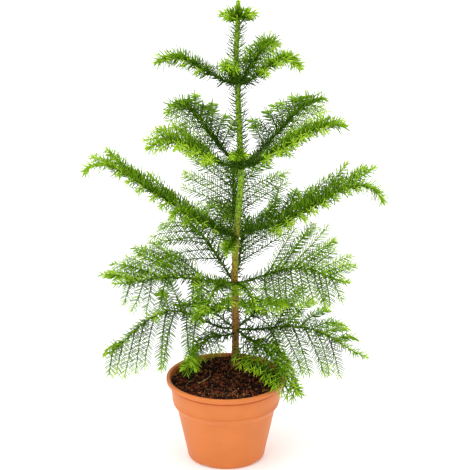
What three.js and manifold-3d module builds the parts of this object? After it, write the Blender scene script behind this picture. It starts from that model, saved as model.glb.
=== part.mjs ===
// A potted Norfolk Island pine: a young conifer with tiers of arching boughs, in a moulded clay-coloured pot.
// Millimetres, +Z up, origin at the centre of the pot's flat underside, the front of the plant facing -Y.
import * as THREE from 'three';
import { mergeVertices } from 'three/addons/utils/BufferGeometryUtils.js';
import Module from 'manifold-3d';

const wasm = await Module();
wasm.setup();

// Pot, as turned about its axis
const POT_HEIGHT = 107;
const RIM_RADIUS = 75;
const LIP_HEIGHT = 5.7;
const LIP_WIDTH = 4.6;
const COLLAR_TOP_RADIUS = 69.5;
const SHOULDER_TOP = { radius: 67.2, height: 78 };
const SHOULDER_FOOT = { radius: 61, height: 64 };
const HEEL = { radius: 48.9, height: 7 };
const FOOT_RADIUS = 44.5;
const POT_WALL = 1.6;
const POT_FLOOR = 4.5;
const POT_SIDES = 30;
const NOTCH = { count: 4, width: 15, height: 2.6, depth: 6, firstAzimuth: 55 };

// Potting soil, level round the stem and sinking towards the wall
const SOIL_LEVEL = 104.2;
const SOIL_EDGE_DROP = 3.4;
const SOIL_LEVEL_RADIUS = 52;

// Trunk, as heights of its centre line with the sideways drift that the stem shows there
const GAP = 0.3;
const TRUNK_DEPTH = 34;
const TRUNK_LINE = [
  { height: SOIL_LEVEL + GAP, drift: 11.4 },
  { height: 176, drift: 11.8 },
  { height: 241, drift: 10.9 },
  { height: 300, drift: 14 },
  { height: 359, drift: 18.5 },
  { height: 416, drift: 16.7 },
  { height: 480, drift: 14.1 },
  { height: 520, drift: 12.6 },
  { height: 560, drift: 14.8 },
];
const TRUNK_RADIUS = { foot: 4.6, tip: 3.0, flare: 1.2, flareHeight: 12 };
const TRUNK_SIDES = 8;
const TRUNK_STEPS = 16;

// Tiers of boughs from the lowest up. A tier's branchlets droop by a slope, and lean down towards the front and up
// towards the back by another; their count is for a bough of the usual reach, and they go out along it as far as the
// outmost share. Those that face the back and those that face the front leave the bough at the usual angle times
// their spread and are the usual length times their size. A bough has an azimuth from +X in degrees, a level reach,
// the lift of its tip over its joint with the trunk, the arch of the limb over the straight line between the two, for
// some a joint a little below the others of the tier, and for some the span of its branchlets against the tier's.
const USUAL_REACH = 140;
const TIERS = [
  {
    height: 158, peak: 0.54, branchlets: 11, length: 75, droop: 0.45, lean: 0.45, outmost: 0.94,
    spread: { back: 1.3, front: 1.45 }, size: { back: 1, front: 1 },
    boughs: [
      { azimuth: 188, reach: 163, lift: -25, arch: 41 },
      { azimuth: 222, reach: 88, lift: -26, arch: 16, below: 5 },
      { azimuth: 306, reach: 130, lift: -44, arch: 14, span: 0.9 },
      { azimuth: 355, reach: 164, lift: -33, arch: 21 },
      { azimuth: 52, reach: 118, lift: -6, arch: 14 },
      { azimuth: 94, reach: 108, lift: -8, arch: 14 },
      { azimuth: 130, reach: 118, lift: -6, arch: 14 },
    ],
  },
  {
    height: 219, peak: 0.53, branchlets: 11, length: 76, droop: 0, lean: 0.6, outmost: 0.94,
    spread: { back: 0.85, front: 1.5 }, size: { back: 1, front: 0.85 },
    boughs: [
      { azimuth: 185, reach: 150, lift: 4, arch: 8 },
      { azimuth: 240, reach: 78, lift: -10, arch: 16 },
      { azimuth: 296, reach: 62, lift: -12, arch: 10 },
      { azimuth: 357, reach: 142, lift: 4, arch: 19 },
      { azimuth: 82, reach: 122, lift: 40, arch: 8, span: 1.2 },
      { azimuth: 120, reach: 132, lift: 44, arch: 8, span: 1.2 },
    ],
  },
  {
    height: 283, peak: 0.8, branchlets: 8, length: 66, droop: 0.1, lean: 0.25, outmost: 0.72,
    spread: { back: 0.85, front: 1.1 }, size: { back: 1.05, front: 0.35 },
    boughs: [
      { azimuth: 180, reach: 186, lift: 82, arch: 22 },
      { azimuth: 214, reach: 92, lift: 50, arch: 8, below: 3, span: 0.8 },
      { azimuth: 255, reach: 46, lift: -8, arch: 4 },
      { azimuth: 357, reach: 180, lift: 48, arch: 28 },
      { azimuth: 28, reach: 122, lift: 20, arch: 10 },
      { azimuth: 92, reach: 148, lift: 44, arch: 10, span: 1.3 },
    ],
  },
  {
    height: 370, peak: 0.7, branchlets: 12, length: 46, droop: 0.1, lean: 0.1, outmost: 0.78,
    spread: { back: 1.2, front: 1.1 }, size: { back: 1, front: 0.6 },
    boughs: [
      { azimuth: 195, reach: 116, lift: 38, arch: 16 },
      { azimuth: 267, reach: 64, lift: 36, arch: 10 },
      { azimuth: 340, reach: 132, lift: 71, arch: 12 },
      { azimuth: 40, reach: 134, lift: 62, arch: 13 },
      { azimuth: 145, reach: 106, lift: 62, arch: 18 },
    ],
  },
  {
    height: 478, peak: 0.7, branchlets: 9, length: 24, droop: 0.2, lean: 0, outmost: 0.8,
    spread: { back: 1, front: 1 }, size: { back: 1, front: 0.9 },
    boughs: [
      { azimuth: 175, reach: 97, lift: 27, arch: 14 },
      { azimuth: 250, reach: 44, lift: 38, arch: 5 },
      { azimuth: 355, reach: 76, lift: 25, arch: 19 },
      { azimuth: 62, reach: 96, lift: 28, arch: 12 },
    ],
  },
];

// Limbs: a bough is bare wood for its inner stretch and goes on as the stem of its foliage
const BOUGH_RADIUS = { joint: 1.25, end: 1.0 };
const BOUGH_SIDES = 5;
const BOUGH_STEPS = 3;
const BARE_LENGTH = 24;
const BARE_SHARE = { least: 0.2, most: 0.4 };

// Stems, branchlets and their needles: a three-sided core with a spine standing out of each facet
const BRANCHLET_FIRST = 0.08;
const BRANCHLET_TAPER = 0.3;
const BRANCHLET_ANGLE = { inner: 62, outer: 42 };
const STEM_RADIUS = 1.2;
const STEM_STEP = 17;
const BRANCHLET_RADIUS = 0.9;
const BRANCHLET_STEP = 20;
const NEEDLE_LENGTH = 11;
const NEEDLE_ANGLE = 50;
// A branchlet without room grows more level, and only then shorter
const FITTINGS = [1, 0.8, 0.62, 0.45].flatMap((shortening) => (
  [0, 0.3, 0.6, 0.9].map((level) => ({ shortening, level }))));
const SHORTEST_SPRAY = 13;
const CLEARANCE = 0.6;
const SLIVER = 0.01;
const SPRAY_TURNS = [110, 95, 80, 65, 50, 35];

// Tuft at the tip of the trunk
const TUFT = { count: 7, length: 24, rise: 0.45, droop: 0.55, bud: 25, seat: 5 };

const needleColour = new THREE.MeshStandardMaterial({ color: 0x4e8f1c, roughness: 0.55, metalness: 0 });
const limbColour = new THREE.MeshStandardMaterial({ color: 0x5f6e22, roughness: 0.7, metalness: 0 });
const barkColour = new THREE.MeshStandardMaterial({ color: 0x8a5a24, roughness: 0.85, metalness: 0 });
const potColour = new THREE.MeshStandardMaterial({ color: 0xe5803f, roughness: 0.5, metalness: 0 });
const soilColour = new THREE.MeshStandardMaterial({ color: 0x3a2114, roughness: 1, metalness: 0 });

const up = new THREE.Vector3(0, 0, 1);
const radians = THREE.MathUtils.degToRad;
const lerp = THREE.MathUtils.lerp;

// Repeatable random numbers from 0 to 1
function seeded(seed) {
  let state = seed >>> 0;
  return () => {
    state = (state + 0x6d2b79f5) >>> 0;
    let mixed = Math.imul(state ^ (state >>> 15), state | 1);
    mixed ^= mixed + Math.imul(mixed ^ (mixed >>> 7), mixed | 61);
    return ((mixed ^ (mixed >>> 14)) >>> 0) / 4294967296;
  };
}

// Solids

function solidOf(geometry) {
  const bare = geometry.clone();
  bare.deleteAttribute('normal');
  bare.deleteAttribute('uv');
  const merged = mergeVertices(bare, 1e-4);
  return new wasm.Manifold(new wasm.Mesh({
    numProp: 3,
    vertProperties: new Float32Array(merged.attributes.position.array),
    triVerts: new Uint32Array(merged.index.array),
  }));
}

function geometryOf(solid) {
  const mesh = solid.getMesh();
  const geometry = new THREE.BufferGeometry();
  geometry.setAttribute('position', new THREE.BufferAttribute(new Float32Array(mesh.vertProperties), 3));
  geometry.setIndex(new THREE.BufferAttribute(new Uint32Array(mesh.triVerts), 1));
  geometry.computeVertexNormals();
  return geometry;
}

// The least distance between any two corners of a solid
function closestCorners(solid) {
  const { vertProperties } = solid.getMesh();
  let least = Infinity;
  for (let i = 0; i < vertProperties.length; i += 3) {
    for (let j = i + 3; j < vertProperties.length; j += 3) {
      least = Math.min(least, Math.hypot(
        vertProperties[i] - vertProperties[j],
        vertProperties[i + 1] - vertProperties[j + 1],
        vertProperties[i + 2] - vertProperties[j + 2]));
    }
  }
  return least;
}

// Sprays joined as one body, without a hollow that joining closes off. A spray whose joint would leave a sliver is
// turned a little about its own axis first.
function fuseSprays(sprays) {
  let whole = null;
  for (const spray of sprays) {
    let best = null;
    for (const turn of SPRAY_TURNS) {
      const next = solidOf(sprayGeometry(spray, turn));
      const solid = whole ? whole.add(next) : next;
      const gap = closestCorners(solid);
      if (!best || gap > best.gap) best = { solid, gap };
      if (best.gap > SLIVER) break;
    }
    whole = best.solid;
  }
  return geometryOf(whole.decompose().sort((a, b) => b.volume() - a.volume())[0]);
}

// A tangent and two directions across it at a share of a curve, which don't twist along the curve
function frameAt(curve, share) {
  const along = curve.getTangent(share).normalize();
  const chord = curve.getPoint(1).sub(curve.getPoint(0)).normalize();
  const across = new THREE.Vector3().crossVectors(Math.abs(chord.z) > 0.99 ? new THREE.Vector3(0, 1, 0) : up, chord);
  across.addScaledVector(along, -across.dot(along)).normalize();
  return { along, across, over: new THREE.Vector3().crossVectors(along, across) };
}

// A round tapering limb: a cone whose own axis is bent to a curve
function limbGeometry(curve, radiusAt, sides, steps) {
  const limb = new THREE.CylinderGeometry(1, 1, 1, sides, steps);
  const position = limb.attributes.position;
  for (let i = 0; i < position.count; i++) {
    const share = position.getY(i) + 0.5;
    const { across, over } = frameAt(curve, share);
    const radius = radiusAt(share);
    const place = curve.getPoint(share)
      .addScaledVector(across, position.getZ(i) * radius)
      .addScaledVector(over, position.getX(i) * radius);
    position.setXYZ(i, place.x, place.y, place.z);
  }
  return limb;
}

// A spray of needles along a curve: a slim core with three rows of spines that lean towards its tip
function sprayGeometry({ curve, length, core, step }, turn) {
  const steps = Math.max(1, Math.round(length / step));
  const coreEnd = 1 - 0.45 / steps;
  const shares = Array.from({ length: steps + 1 }, (_, i) => (i / steps) * coreEnd);
  const centres = shares.map((share) => curve.getPoint(share));
  const rings = shares.map((share, i) => {
    const { across, over } = frameAt(curve, share);
    const radius = core * lerp(1, 0.6, share);
    return [0, 120, 240].map((corner) => centres[i].clone()
      .addScaledVector(across, Math.cos(radians(corner + turn)) * radius)
      .addScaledVector(over, Math.sin(radians(corner + turn)) * radius));
  });
  const triangles = [[rings[0][2], rings[0][1], rings[0][0]]];
  for (let i = 0; i < steps; i++) {
    const axis = centres[i].clone().lerp(centres[i + 1], 0.5);
    const along = centres[i + 1].clone().sub(centres[i]).normalize();
    for (let side = 0; side < 3; side++) {
      const next = (side + 1) % 3;
      const corners = [rings[i][side], rings[i][next], rings[i + 1][next], rings[i + 1][side]];
      const middle = corners.reduce((sum, corner) => sum.addScaledVector(corner, 0.25), new THREE.Vector3());
      const out = middle.clone().sub(axis).normalize();
      const apex = middle.clone()
        .addScaledVector(out, NEEDLE_LENGTH * Math.sin(radians(NEEDLE_ANGLE)))
        .addScaledVector(along, NEEDLE_LENGTH * Math.cos(radians(NEEDLE_ANGLE)));
      corners.forEach((corner, n) => triangles.push([corner, corners[(n + 1) % 4], apex]));
    }
  }
  const tip = curve.getPoint(1);
  for (let side = 0; side < 3; side++) triangles.push([rings[steps][side], rings[steps][(side + 1) % 3], tip]);
  return mergeVertices(new THREE.BufferGeometry().setFromPoints(triangles.flat()), 1e-4);
}

// Trunk

const trunkLine = new THREE.CatmullRomCurve3(
  TRUNK_LINE.map(({ height, drift }) => new THREE.Vector3(drift, TRUNK_DEPTH, height)));
const trunkFoot = TRUNK_LINE[0].height;
const trunkTip = TRUNK_LINE[TRUNK_LINE.length - 1].height;

function trunkRadiusAt(height) {
  const taper = lerp(TRUNK_RADIUS.foot, TRUNK_RADIUS.tip, (height - trunkFoot) / (trunkTip - trunkFoot));
  return taper + TRUNK_RADIUS.flare * Math.exp(-(height - trunkFoot) / TRUNK_RADIUS.flareHeight);
}

// The centre of the trunk at a height, by halving the curve's share
function trunkPointAt(height) {
  let low = 0;
  let high = 1;
  for (let i = 0; i < 30; i++) {
    const middle = (low + high) / 2;
    if (trunkLine.getPoint(middle).z < height) low = middle;
    else high = middle;
  }
  return trunkLine.getPoint(low);
}

// The trunk, cut level at its foot
function trunkGeometry() {
  const limb = limbGeometry(
    trunkLine, (share) => trunkRadiusAt(trunkLine.getPoint(share).z), TRUNK_SIDES, TRUNK_STEPS);
  const position = limb.attributes.position;
  for (let i = 0; i < position.count; i++) {
    if (position.getZ(i) < trunkFoot + 1) position.setZ(i, trunkFoot);
  }
  return limb;
}

// Boughs and branchlets

// A hump from 0 to 1 over a share of a limb, highest at the peak
function humpAt(share, peak) {
  return (share / peak) ** (4 * peak) * ((1 - share) / (1 - peak)) ** (4 * (1 - peak));
}

class BoughCurve extends THREE.Curve {
  constructor(tier, bough, from = 0, to = 1) {
    super();
    Object.assign(this, { tier, bough, from, to });
    this.root = trunkPointAt(tier.height - (bough.below ?? 0));
    this.heading = new THREE.Vector3(Math.cos(radians(bough.azimuth)), Math.sin(radians(bough.azimuth)), 0);
  }

  getPoint(local, target = new THREE.Vector3()) {
    const share = lerp(this.from, this.to, local);
    const rise = this.bough.lift * share + this.bough.arch * humpAt(share, this.tier.peak);
    return target.copy(this.root).addScaledVector(this.heading, this.bough.reach * share).addScaledVector(up, rise);
  }

  stretch(from, to) {
    return new BoughCurve(this.tier, this.bough, from, to);
  }
}

// The branchlets of a bough by a seeded rule: they leave it in turn to either side, the longest ones further in
function branchletsOf({ tier, whole, bareShare, seed }) {
  const random = seeded(seed);
  const size = (whole.bough.span ?? 1) * Math.min(1, whole.bough.reach / (2.2 * tier.length));
  const count = Math.max(3, Math.round(tier.branchlets * Math.min(1.1, whole.bough.reach / USUAL_REACH)));
  return Array.from({ length: count }, (_, i) => {
    const outward = lerp(BRANCHLET_FIRST, tier.outmost, (i + 0.5 * random()) / (count - 0.5));
    const share = lerp(bareShare, 1, outward);
    const side = i % 2 ? 1 : -1;
    const facing = 0.5 - 0.5 * Math.sin(radians(whole.bough.azimuth + 60 * side));
    const spread = lerp(tier.spread.back, tier.spread.front, facing);
    const angle = lerp(BRANCHLET_ANGLE.inner, BRANCHLET_ANGLE.outer, outward) * spread + 12 * (random() - 0.5);
    const heading = whole.heading.clone().applyAxisAngle(up, side * radians(angle));
    const taper = lerp(1, BRANCHLET_TAPER, outward ** 2) * lerp(0.9, 1.1, random());
    const length = size * tier.length * taper * lerp(tier.size.back, tier.size.front, facing);
    const along = whole.getTangent(share).normalize();
    const slope = along.z * 0.8 + tier.lean * heading.y;
    return { share, heading, slope, droop: tier.droop + 0.15 * random(), length, start: whole.getPoint(share) };
  });
}

function branchletCurve({ start, heading, slope, droop }, length) {
  const first = heading.clone().addScaledVector(up, slope).normalize();
  const last = heading.clone().addScaledVector(up, slope - droop).normalize();
  return new THREE.QuadraticBezierCurve3(
    start, start.clone().addScaledVector(first, length * 0.5), start.clone().addScaledVector(last, length));
}

// Space

// Balls that the pieces placed so far fill, each with its owner
const filled = [];

function ballsAlong(curve, length, radius, from = 0) {
  const count = Math.max(2, Math.ceil(length / 4));
  return Array.from({ length: count + 1 }, (_, i) => ({
    centre: curve.getPoint(lerp(from, 1, i / count)),
    radius,
  }));
}

function fill(owner, balls) {
  filled.push(...balls.map((ball) => ({ ...ball, owner })));
}

function clearOfPot({ centre, radius }) {
  const room = radius + CLEARANCE;
  const fromAxis = Math.hypot(centre.x, centre.y);
  if (centre.z - room > POT_HEIGHT || fromAxis - room > RIM_RADIUS) return true;
  return fromAxis + room < SOIL_LEVEL_RADIUS && centre.z - room > SOIL_LEVEL;
}

function isClear(owner, balls) {
  return balls.every((ball) => clearOfPot(ball) && filled.every((other) => other.owner === owner
    || other.centre.distanceTo(ball.centre) > other.radius + ball.radius + CLEARANCE));
}

const sprayReach = BRANCHLET_RADIUS + NEEDLE_LENGTH * Math.sin(radians(NEEDLE_ANGLE));

// Pieces

const plant = new THREE.Group();

function addPiece(name, geometry, material) {
  const mesh = new THREE.Mesh(geometry, material.clone());
  mesh.name = name;
  plant.add(mesh);
}

function turned(profile) {
  return new THREE.LatheGeometry(profile.map(([radius, height]) => new THREE.Vector2(radius, height)), POT_SIDES)
    .rotateX(Math.PI / 2);
}

function potGeometry() {
  const lipFoot = POT_HEIGHT - LIP_HEIGHT;
  const bodyProfile = [
    [0, 0],
    [FOOT_RADIUS, 0],
    [lerp(FOOT_RADIUS, HEEL.radius, 0.65), HEEL.height * 0.22],
    [HEEL.radius, HEEL.height],
    [SHOULDER_FOOT.radius, SHOULDER_FOOT.height],
    [SHOULDER_TOP.radius, SHOULDER_TOP.height],
    [COLLAR_TOP_RADIUS, lipFoot - 1],
    [RIM_RADIUS - 1.4, lipFoot],
    [RIM_RADIUS, lipFoot + 1.4],
    [RIM_RADIUS, POT_HEIGHT - 1.8],
    [RIM_RADIUS - 1.4, POT_HEIGHT],
    [RIM_RADIUS - LIP_WIDTH + 0.8, POT_HEIGHT],
    [RIM_RADIUS - LIP_WIDTH, POT_HEIGHT - 1],
    [COLLAR_TOP_RADIUS - POT_WALL, lipFoot - 2],
    [SHOULDER_TOP.radius - POT_WALL, SHOULDER_TOP.height],
    [SHOULDER_FOOT.radius - POT_WALL, SHOULDER_FOOT.height],
    [HEEL.radius - POT_WALL, HEEL.height],
    [FOOT_RADIUS, POT_FLOOR],
    [0, POT_FLOOR],
  ];
  let pot = solidOf(turned(bodyProfile));
  for (let i = 0; i < NOTCH.count; i++) {
    const notch = new THREE.BoxGeometry(2 * NOTCH.depth, NOTCH.width, 2 * NOTCH.height)
      .translate(HEEL.radius, 0, 0)
      .rotateZ(radians(NOTCH.firstAzimuth + (360 / NOTCH.count) * i));
    pot = pot.subtract(solidOf(notch));
  }
  return geometryOf(pot);
}

function soilGeometry() {
  const inset = POT_WALL + GAP + 0.3;
  const edgeHeight = SOIL_LEVEL - SOIL_EDGE_DROP;
  const collarShare = (edgeHeight - SHOULDER_TOP.height) / (POT_HEIGHT - LIP_HEIGHT - SHOULDER_TOP.height);
  return turned([
    [0, POT_FLOOR + GAP],
    [FOOT_RADIUS - GAP, POT_FLOOR + GAP],
    [HEEL.radius - inset, HEEL.height + GAP],
    [SHOULDER_FOOT.radius - inset, SHOULDER_FOOT.height],
    [SHOULDER_TOP.radius - inset, SHOULDER_TOP.height],
    [lerp(SHOULDER_TOP.radius, COLLAR_TOP_RADIUS, collarShare) - inset, edgeHeight],
    [SOIL_LEVEL_RADIUS, SOIL_LEVEL],
    [0, SOIL_LEVEL],
  ]);
}

function tuftGeometry() {
  const root = trunkPointAt(trunkTip).addScaledVector(up, GAP);
  const bud = new THREE.LineCurve3(root, root.clone().addScaledVector(up, TUFT.bud));
  const sprays = Array.from({ length: TUFT.count }, (_, i) => {
    const azimuth = radians((360 / TUFT.count) * i + 20);
    const heading = new THREE.Vector3(Math.cos(azimuth), Math.sin(azimuth), 0);
    const start = root.clone().addScaledVector(up, TUFT.seat + i % 2);
    return branchletCurve({ start, heading, slope: TUFT.rise, droop: TUFT.droop }, TUFT.length);
  });
  return fuseSprays([bud, ...sprays].map((curve) => (
    { curve, length: TUFT.length, core: BRANCHLET_RADIUS, step: BRANCHLET_STEP })));
}

// Every bough with its name, its whole curve and the stretches of bare limb and of leafy stem
const boughs = TIERS.flatMap((tier, t) => tier.boughs.map((bough, b) => {
  const whole = new BoughCurve(tier, bough);
  const { reach } = bough;
  const slope = whole.getTangent(0.02).normalize().z;
  const joint = trunkRadiusAt(tier.height) + GAP + BOUGH_RADIUS.joint * Math.abs(slope);
  const bareShare = THREE.MathUtils.clamp(BARE_LENGTH / reach, BARE_SHARE.least, BARE_SHARE.most);
  const limb = whole.stretch(joint / reach, bareShare);
  const stem = whole.stretch(bareShare + GAP / reach, 1);
  const sprays = [{ curve: stem, length: reach * (1 - bareShare), core: STEM_RADIUS, step: STEM_STEP }];
  return { name: `tier${t + 1}_${'abcdefg'[b]}`, tier, whole, bareShare, limb, sprays, seed: 100 * (t + 1) + b };
}));

// Limbs and stems take their space first, then the branchlets one round after another from the tips inwards
const trunkTop = trunkPointAt(trunkTip);
const tuftLine = new THREE.LineCurve3(trunkTop, trunkTop.clone().addScaledVector(up, TUFT.bud));
fill('trunk', ballsAlong(trunkLine, trunkTip - trunkFoot, TRUNK_RADIUS.foot));
fill('tuft', ballsAlong(tuftLine, TUFT.bud, TUFT.length));
for (const { name, limb, sprays: [stem] } of boughs) {
  fill(name, ballsAlong(limb, BARE_LENGTH, BOUGH_RADIUS.joint));
  fill(name, ballsAlong(stem.curve, stem.length, sprayReach));
}
const plans = boughs.map(branchletsOf);
const rounds = Math.max(...plans.map((plan) => plan.length));
for (let round = 0; round < rounds; round++) {
  boughs.forEach(({ name, sprays }, i) => {
    const branchlet = plans[i][plans[i].length - 1 - round];
    if (!branchlet) return;
    for (const { shortening, level } of FITTINGS) {
      const length = branchlet.length * shortening;
      if (length < SHORTEST_SPRAY) return;
      const curve = branchletCurve({ ...branchlet, slope: branchlet.slope + level }, length);
      const balls = ballsAlong(curve, length, sprayReach, Math.min(0.5, (sprayReach + 1) / length));
      if (!isClear(name, balls)) continue;
      fill(name, balls);
      sprays.push({ curve, length, core: BRANCHLET_RADIUS, step: BRANCHLET_STEP });
      return;
    }
  });
}

addPiece('pot', potGeometry(), potColour);
addPiece('soil', soilGeometry(), soilColour);
addPiece('trunk', trunkGeometry(), barkColour);
addPiece('tuft_leader', tuftGeometry(), needleColour);
for (const { name, limb, sprays } of boughs) {
  const limbRadius = (share) => lerp(BOUGH_RADIUS.joint, BOUGH_RADIUS.end, share);
  addPiece(`bough_${name}`, limbGeometry(limb, limbRadius, BOUGH_SIDES, BOUGH_STEPS), limbColour);
  addPiece(`foliage_${name}`, fuseSprays(sprays), needleColour);
}

export default plant;
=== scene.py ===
"""A potted Norfolk Island pine: tiers of arching boughs with feathery sprays of needles, in a moulded pot."""

import functools
import itertools
import math

import bpy
import numpy as np
from bpy.props import FloatProperty, FloatVectorProperty, IntProperty, PointerProperty
from bpy.types import Operator, Panel, PropertyGroup
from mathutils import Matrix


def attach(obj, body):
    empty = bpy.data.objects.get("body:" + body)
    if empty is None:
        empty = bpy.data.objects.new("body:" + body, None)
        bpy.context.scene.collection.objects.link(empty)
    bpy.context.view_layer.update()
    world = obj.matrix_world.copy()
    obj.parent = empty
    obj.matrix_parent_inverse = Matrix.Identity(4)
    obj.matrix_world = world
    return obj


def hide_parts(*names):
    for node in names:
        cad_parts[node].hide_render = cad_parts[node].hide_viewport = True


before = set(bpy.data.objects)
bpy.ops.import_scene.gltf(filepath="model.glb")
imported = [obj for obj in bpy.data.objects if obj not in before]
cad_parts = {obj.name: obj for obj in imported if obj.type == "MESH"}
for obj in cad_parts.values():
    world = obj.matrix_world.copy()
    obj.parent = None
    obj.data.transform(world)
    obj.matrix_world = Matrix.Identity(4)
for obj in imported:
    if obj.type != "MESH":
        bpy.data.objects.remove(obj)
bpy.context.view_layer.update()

bl_info = {
    "name": "Potted Norfolk Island pine",
    "version": (1, 0, 0),
    "blender": (4, 5, 0),
    "location": "3D View > Sidebar > Pine",
    "description": "Grows a young Norfolk Island pine in a moulded pot",
    "category": "Add Mesh",
}

MM = 0.001
UP = np.array([0.0, 0.0, 1.0])
BACK = np.array([0.0, 1.0, 0.0])
GOLDEN_TURN = math.radians(137.508)
# A little over a full turn, for random directions
ANY_TURN = 6.3

# Seeds of the random draws; boughs and tiers count on from theirs
SOIL_SEED, TRUNK_SEED, LEADER_SEED, TWIG_SEED, NEEDLE_SEED = 7, 11, 21, 100, 500

# The pot's fine mouldings as (in from the edge, down from it)
SHOULDER_BEAD = np.array([
    (0.7, 3.0), (0.95, 2.7), (1.05, 2.4), (1.05, 1.2), (0.95, 0.9), (0.2, 0.6), (-0.2, 0.4), (-0.4, 0.0),
    (-0.4, -0.6), (-0.25, -1.2), (-0.1, -1.9)]) * MM
LIP_GROOVE = np.array([
    (0.1, 4.0), (0.9, 3.7), (1.1, 3.2), (1.1, 1.0), (0.9, 0.3), (0.2, 0.05), (-1.0, 0.0), (-3.2, 0.0)]) * MM
STEP_TOP = (0.6 * MM, 3.4 * MM)
COLLAR_TOP = 4.4 * MM
LIP_ROLL = 1.5 * MM
AXIS_GAP = 0.001 * MM
# Drainage notches in the foot, in degrees round the pot
NOTCH_AZIMUTH, NOTCH_SPACING, NOTCH_HALF = 55, 90, 8.5
NOTCH_HEIGHT = 2.6 * MM

# Lumps of the soil as (how many waves, their length, their height)
SOIL_LUMPS = ((9, 9 * MM, 0.55 * MM), (14, 2.6 * MM, 0.28 * MM))
SOIL_GAP = 0.6 * MM
SOIL_SECTORS, SOIL_RINGS = 220, 64
# Shares of peat, bark and dried bits among the crumbs
CRUMB_SHARES = (0.5, 0.36, 0.14)
FIBRE_POINTS = 9
# A dry twig that fell in front of the trunk, in millimetres
FALLEN_FROM, FALLEN_RUN, FALLEN_BOW = (-34, -20), (14, 22), 9

# The stem's centre line: its sideways drift at heights, and its depth behind the pot's axis
TRUNK_HEIGHTS = np.array([104.5, 176, 241, 300, 359, 416, 480, 520, 560]) * MM
TRUNK_DRIFTS = np.array([11.4, 11.8, 10.9, 14, 18.5, 16.7, 14.1, 12.6, 14.8]) * MM
TRUNK_DEPTH = 34 * MM
# Needles on lengths of the trunk as (from, to, spacing, length, youth), in millimetres
TRUNK_NEEDLES = (
    (150, 283, 5.0, 5.0, 0.15), (283, 376, 1.4, 10, 0.24), (376, 478, 0.6, 17, 0.14), (478, 560, 0.54, 16, 0.18))
TRUNK_LEAN = (78, 42)

# Tiers from the lowest up, in millimetres and degrees: the height of the joints, the share of a limb where its
# arch is highest, the branchlets of a limb of the usual reach with their length, droop, lean down to the front and
# how far out they go, and what their angle and length are times if they face the back and the front. Boughs are
# (azimuth, reach, lift, arch, joint below the others, span of the branchlets against the tier's).
TIER_FIELDS = ("height", "peak", "branchlets", "length", "droop", "lean", "outmost", "spread", "size", "boughs")
TIERS = [dict(zip(TIER_FIELDS, tier)) for tier in (
    (158, 0.54, 11, 75, 0.45, 0.45, 0.94, (1.3, 1.45), (1, 1), (
        (188, 163, -25, 41, 0, 1), (222, 88, -26, 16, 5, 1), (306, 130, -44, 14, 0, 0.9),
        (355, 164, -33, 21, 0, 1), (52, 118, -6, 14, 0, 1), (94, 108, -8, 14, 0, 1),
        (130, 118, -6, 14, 0, 1))),
    (219, 0.53, 11, 76, 0.0, 0.6, 0.94, (0.85, 1.5), (1, 0.85), (
        (185, 150, 4, 8, 0, 1), (240, 78, -10, 16, 0, 1), (296, 62, -12, 10, 0, 1),
        (357, 142, 4, 19, 0, 1), (82, 122, 40, 8, 0, 1.2), (120, 132, 44, 8, 0, 1.2))),
    (283, 0.8, 8, 66, 0.1, 0.25, 0.72, (0.85, 1.1), (1.05, 0.35), (
        (180, 186, 82, 22, 0, 1), (214, 92, 50, 8, 3, 0.8), (255, 46, -8, 4, 0, 1),
        (357, 180, 48, 28, 0, 1), (28, 122, 20, 10, 0, 1), (92, 148, 44, 10, 0, 1.3))),
    (370, 0.7, 12, 46, 0.1, 0.1, 0.78, (1.2, 1.1), (1, 0.6), (
        (195, 116, 38, 16, 0, 1), (267, 64, 36, 10, 0, 1), (340, 132, 71, 12, 0, 1),
        (40, 134, 62, 13, 0, 1), (145, 106, 62, 18, 0, 1))),
    (478, 0.7, 9, 24, 0.2, 0.0, 0.8, (1, 1), (1, 0.9), (
        (175, 97, 27, 14, 0, 1), (250, 44, 38, 5, 0, 1), (355, 76, 25, 19, 0, 1), (62, 96, 28, 12, 0, 1))),
)]
# A bough starts inside the trunk, and is bare for a length within two shares of its reach
BOUGH_FOOT, BOUGH_POINTS = 0.012, 56
BARE_LENGTH = 24 * MM
BARE_LEAST, BARE_MOST = 0.2, 0.4
# A bough is behind the trunk if this much of its direction goes back
BEHIND = 0.4

# Branchlets are more on a long bough, up to a limit, and shorter on a short one
USUAL_REACH = 140 * MM
MOST_REACH = 1.1
FULL_TWIG_REACH = 2.2
FEWEST_TWIGS = 4
# Where the first one stands, its angle, how much less the last one's is, and how much they vary
FIRST_TWIG = 0.06
TWIG_ANGLE, TWIG_ANGLE_FALL, TWIG_ANGLE_PLAY = 62, 20, 12
SIDE_TURN = 60
# How much shorter the last one is, how much of the bough's slope they follow, how their droop and end vary
TWIG_TAPER = 0.7
TWIG_FOLLOW = 0.8
TWIG_DROOP_PLAY = 0.15
TWIG_SWAY = 0.06
TWIG_STEP = 6 * MM
TWIG_RADII = (0.85, 0.35)
# A twig over the pot grows more level, and only then shorter
FITTINGS = tuple(itertools.product((1, 0.8, 0.62, 0.45), (0, 0.3, 0.6, 0.9)))
POT_CLEARANCE = 5 * MM

# Twigs on each tier, lowest first, for each branchlet of the plain plant
FINER = (1.45, 1.75, 1.5, 1.4, 1.4)
# What the boughs behind the trunk have of a tier's usual twigs and needles
BACK_SHARE = (0.75, 0.85, 0.85, 1.0, 1.0)
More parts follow.
